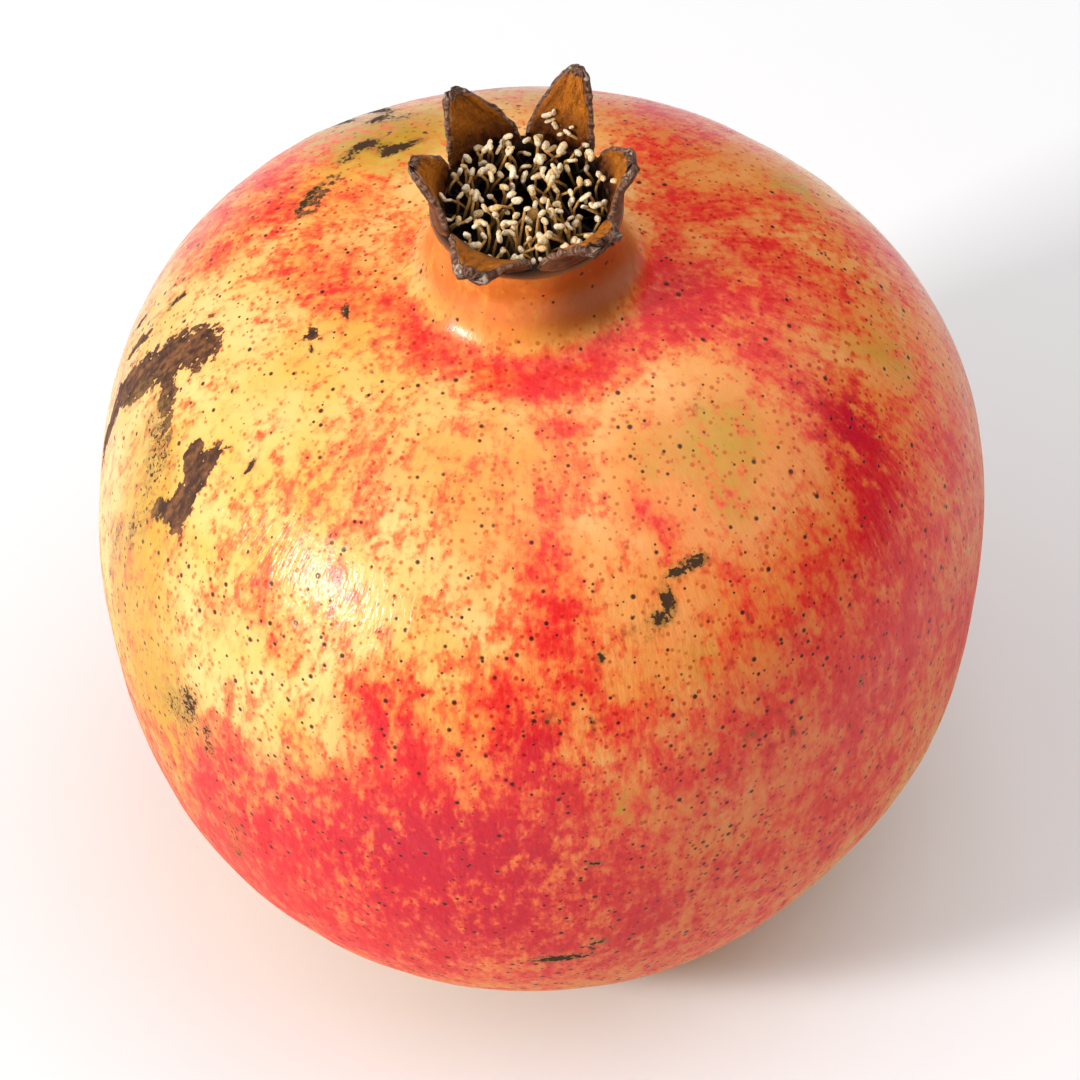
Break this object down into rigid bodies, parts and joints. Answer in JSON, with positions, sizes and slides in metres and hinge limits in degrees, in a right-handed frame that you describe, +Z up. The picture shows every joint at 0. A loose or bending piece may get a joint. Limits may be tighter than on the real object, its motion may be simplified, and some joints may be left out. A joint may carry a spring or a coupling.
{
  "type": "pomegranate",
  "caption": "Whole ripe pomegranate standing on its base, with a short neck and an open crown of dried sepals round a tuft of stamens.",
  "frame": {"origin": "on the surface that the fruit stands on, under the middle of its bounding box", "axes": "+Z up, from the stem end to the crown; -Y towards the side the picture shows; +X to that viewer's right. The fruit's own axis leans about 1.7 degrees to -Y and 1 degree to -X"},
  "size_m": [0.0918, 0.0922, 0.1037],
  "materials": {
    "rind": "smooth leathery skin with a soft waxy gloss, red over yellow, with brown russet scars",
    "sepal": "dried and leathery, satin brown",
    "stamen": "dry and papery, matt",
    "stem": "dry cut wood, matt"
  },
  "bodies": {
    "root": {"rind": "rind", "stem": "stem", "sepal_1": "sepal", "sepal_2": "sepal", "sepal_3": "sepal", "sepal_4": "sepal", "sepal_5": "sepal", "sepal_6": "sepal", "stamen_outer_01": "stamen", "stamen_outer_02": "stamen", "stamen_outer_03": "stamen", "stamen_outer_04": "stamen", "stamen_outer_05": "stamen", "stamen_outer_06": "stamen", "stamen_outer_07": "stamen", "stamen_outer_08": "stamen", "stamen_outer_09": "stamen", "stamen_outer_10": "stamen", "stamen_outer_11": "stamen", "stamen_outer_12": "stamen", "stamen_outer_13": "stamen", "stamen_outer_14": "stamen", "stamen_outer_15": "stamen", "stamen_outer_16": "stamen", "stamen_outer_17": "stamen", "stamen_outer_18": "stamen", "stamen_middle_01": "stamen", "stamen_middle_02": "stamen", "stamen_middle_03": "stamen", "stamen_middle_04": "stamen", "stamen_middle_05": "stamen", "stamen_middle_06": "stamen", "stamen_middle_07": "stamen", "stamen_middle_08": "stamen", "stamen_middle_09": "stamen", "stamen_middle_10": "stamen", "stamen_middle_11": "stamen", "stamen_middle_12": "stamen", "stamen_middle_13": "stamen", "stamen_inner_01": "stamen", "stamen_inner_02": "stamen", "stamen_inner_03": "stamen", "stamen_inner_04": "stamen", "stamen_inner_05": "stamen", "stamen_inner_06": "stamen", "stamen_inner_07": "stamen", "style": "stamen"}
  },
  "joints": []
}
